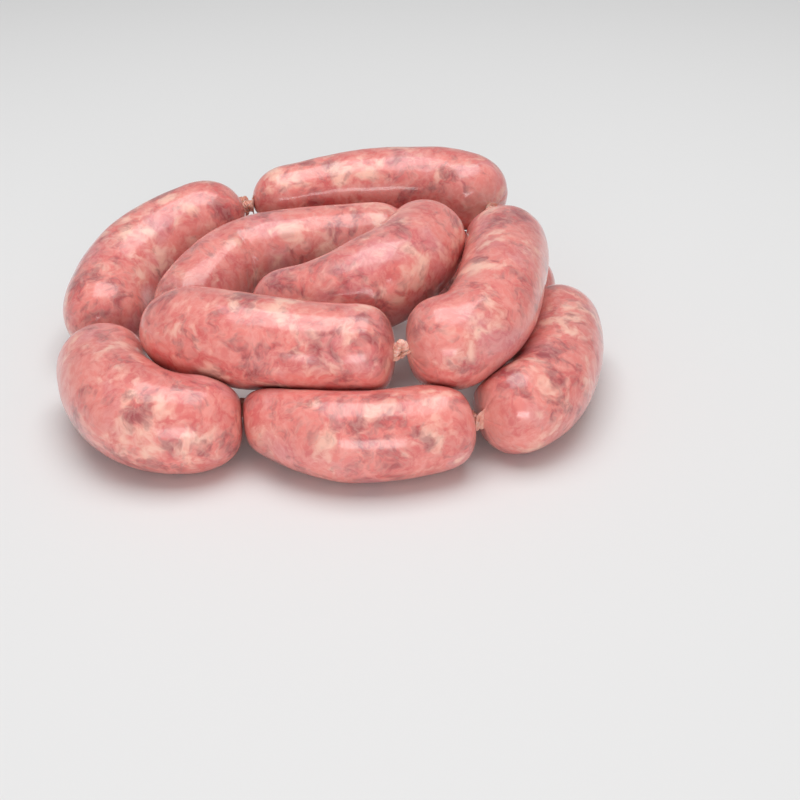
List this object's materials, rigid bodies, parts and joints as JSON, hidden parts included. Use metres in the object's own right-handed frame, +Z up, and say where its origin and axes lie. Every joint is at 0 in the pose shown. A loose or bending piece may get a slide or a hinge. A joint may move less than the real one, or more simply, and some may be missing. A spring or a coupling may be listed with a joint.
{
  "type": "string of sausage links",
  "caption": "A heaped string of plump fresh pork sausage links, twisted from one natural casing and laid in a rising coil.",
  "frame": {"origin": "centre of the heap's footprint, on the surface that it lies on", "axes": "+Z up, +Y towards the back of the heap, +X towards its right as seen from the front"},
  "size_m": [0.2182, 0.1962, 0.0635],
  "materials": {
    "filled_link": "moist raw pork in a thin glossy natural casing, mottled with fat and lean",
    "twisted_casing": "damp translucent natural casing, twisted tight"
  },
  "bodies": {
    "root": {"link_01": "filled_link", "link_02": "filled_link", "link_03": "filled_link", "link_04": "filled_link", "link_05": "filled_link", "link_06": "filled_link", "link_07": "filled_link", "link_08": "filled_link", "link_09": "filled_link", "link_10": "filled_link", "twist_01": "twisted_casing", "twist_02": "twisted_casing", "twist_03": "twisted_casing", "twist_04": "twisted_casing", "twist_05": "twisted_casing", "twist_06": "twisted_casing", "twist_07": "twisted_casing", "twist_08": "twisted_casing", "twist_09": "twisted_casing", "tail_first": "twisted_casing", "tail_last": "twisted_casing"}
  },
  "joints": []
}
